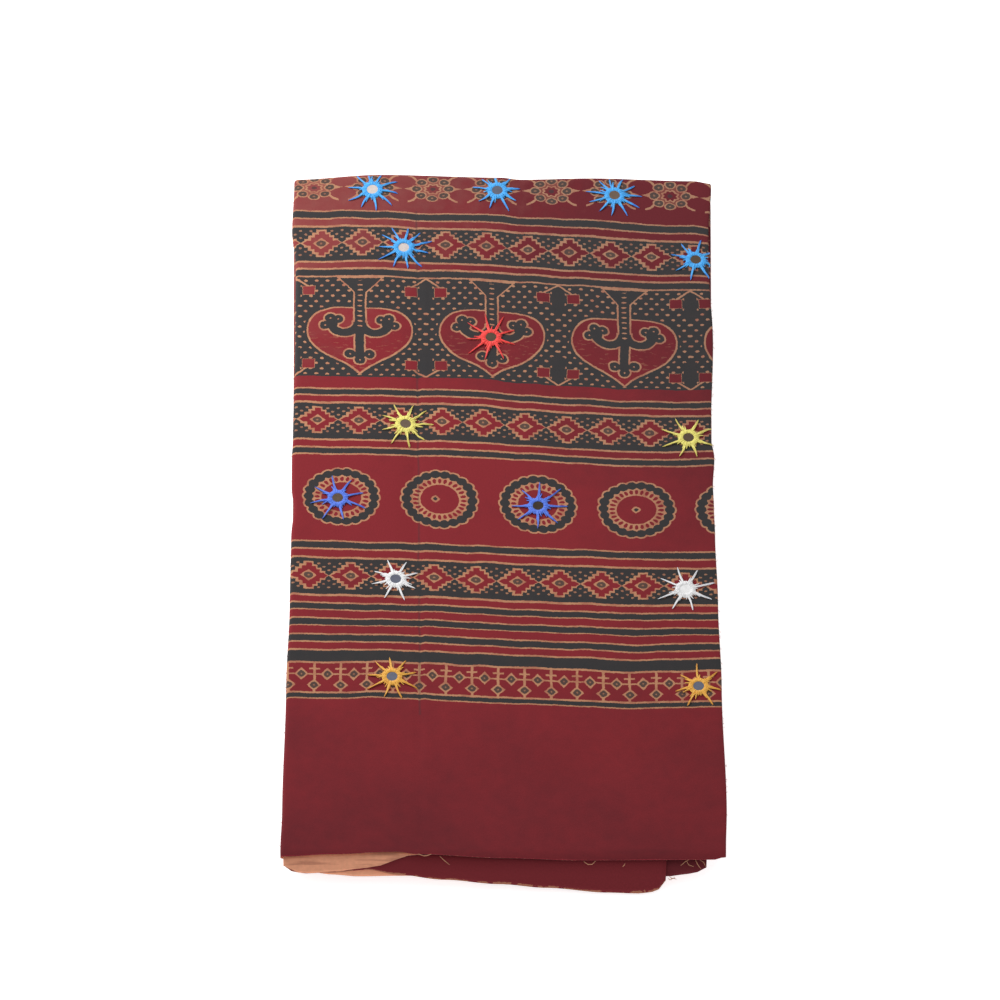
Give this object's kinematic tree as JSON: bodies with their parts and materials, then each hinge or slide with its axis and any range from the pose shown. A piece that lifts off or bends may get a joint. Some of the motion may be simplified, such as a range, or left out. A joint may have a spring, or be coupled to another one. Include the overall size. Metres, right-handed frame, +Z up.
{
  "type": "folded ajrakh cloth",
  "caption": "Block-printed ajrakh cotton length with mirror work, folded flat into a neat oblong stack, face up.",
  "frame": {"origin": "centre of the folded stack's footprint, on the surface that it rests on", "axes": "+X to the right of the printed face as the picture shows it, +Y from the front hem to the back fold, +Z up"},
  "size_m": [0.2942, 0.5852, 0.0247],
  "materials": {
    "madder_cotton": "block-printed plain-weave cotton, matt",
    "silvered_glass": "cut mirror glass",
    "floss_azure": "twisted embroidery thread",
    "floss_scarlet": "twisted embroidery thread",
    "floss_lemon": "twisted embroidery thread",
    "floss_royal": "twisted embroidery thread",
    "floss_white": "twisted embroidery thread",
    "floss_amber": "twisted embroidery thread"
  },
  "bodies": {
    "root": {"cloth": "madder_cotton", "mirror_01": "silvered_glass", "mirror_02": "silvered_glass", "mirror_03": "silvered_glass", "mirror_04": "silvered_glass", "mirror_05": "silvered_glass", "mirror_06": "silvered_glass", "mirror_07": "silvered_glass", "mirror_08": "silvered_glass", "mirror_09": "silvered_glass", "mirror_10": "silvered_glass", "mirror_11": "silvered_glass", "mirror_12": "silvered_glass", "mirror_13": "silvered_glass", "mirror_14": "silvered_glass", "rosette_01": "floss_azure", "rosette_02": "floss_azure", "rosette_03": "floss_azure", "rosette_04": "floss_azure", "rosette_05": "floss_azure", "rosette_06": "floss_scarlet", "rosette_07": "floss_lemon", "rosette_08": "floss_lemon", "rosette_09": "floss_royal", "rosette_10": "floss_royal", "rosette_11": "floss_white", "rosette_12": "floss_white", "rosette_13": "floss_amber", "rosette_14": "floss_amber"}
  },
  "joints": []
}
